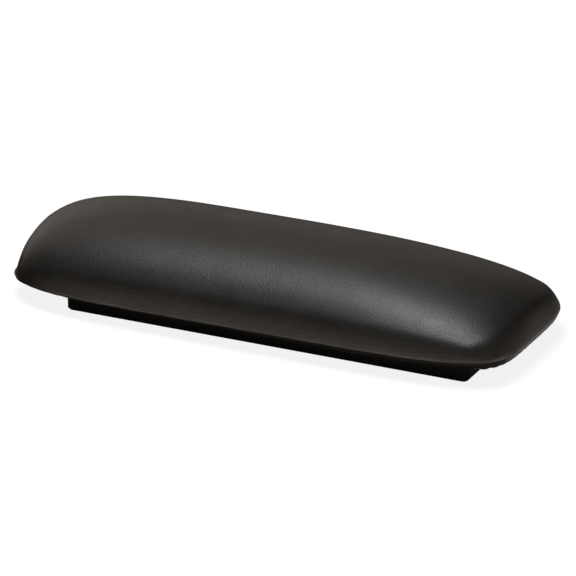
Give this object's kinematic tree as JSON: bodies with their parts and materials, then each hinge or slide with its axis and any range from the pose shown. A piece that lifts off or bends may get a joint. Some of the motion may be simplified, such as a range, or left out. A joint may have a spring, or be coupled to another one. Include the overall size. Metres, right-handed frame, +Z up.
{
  "type": "chair armrest pad",
  "caption": "Arched, leather-covered cushion for a chair's arm, with rolled ends, on a stiff core, closed underneath by a moulded black tray with bolt holes.",
  "frame": {"origin": "under the middle of the pad's length and width, on the plane of the tray's underside", "axes": "+X along the pad towards its blunt elbow end, +Y across the pad, +Z up out of the cushion's crown"},
  "size_m": [0.26, 0.097, 0.043],
  "materials": {
    "cover": "near-black, slightly warm upholstery leather with a fine grain and a satin sheen",
    "foam": "moulded polyurethane foam, pale buff, matt",
    "core": "birch plywood, unfinished, edges showing plies",
    "tray": "moulded black polypropylene, fine matt texture",
    "tee_nut": "pressed steel, zinc plated",
    "screw": "steel, black phosphate",
    "staple": "galvanised staple wire"
  },
  "bodies": {
    "root": {"leather_cover": "cover", "foam_cushion": "foam", "plywood_core": "core", "base_tray": "tray", "tee_nut_hand_right": "tee_nut", "tee_nut_hand_left": "tee_nut", "tee_nut_elbow_right": "tee_nut", "tee_nut_elbow_left": "tee_nut", "tray_screw_hand_right": "screw", "tray_screw_hand_left": "screw", "tray_screw_middle_right": "screw", "tray_screw_middle_left": "screw", "tray_screw_elbow_right": "screw", "tray_screw_elbow_left": "screw", "hem_staple_right_1": "staple", "hem_staple_right_2": "staple", "hem_staple_right_3": "staple", "hem_staple_right_4": "staple", "hem_staple_right_5": "staple", "hem_staple_right_6": "staple", "hem_staple_right_7": "staple", "hem_staple_left_1": "staple", "hem_staple_left_2": "staple", "hem_staple_left_3": "staple", "hem_staple_left_4": "staple", "hem_staple_left_5": "staple", "hem_staple_left_6": "staple", "hem_staple_left_7": "staple", "hem_staple_hand_end_1": "staple", "hem_staple_hand_end_2": "staple", "hem_staple_elbow_end_1": "staple", "hem_staple_elbow_end_2": "staple"}
  },
  "joints": []
}
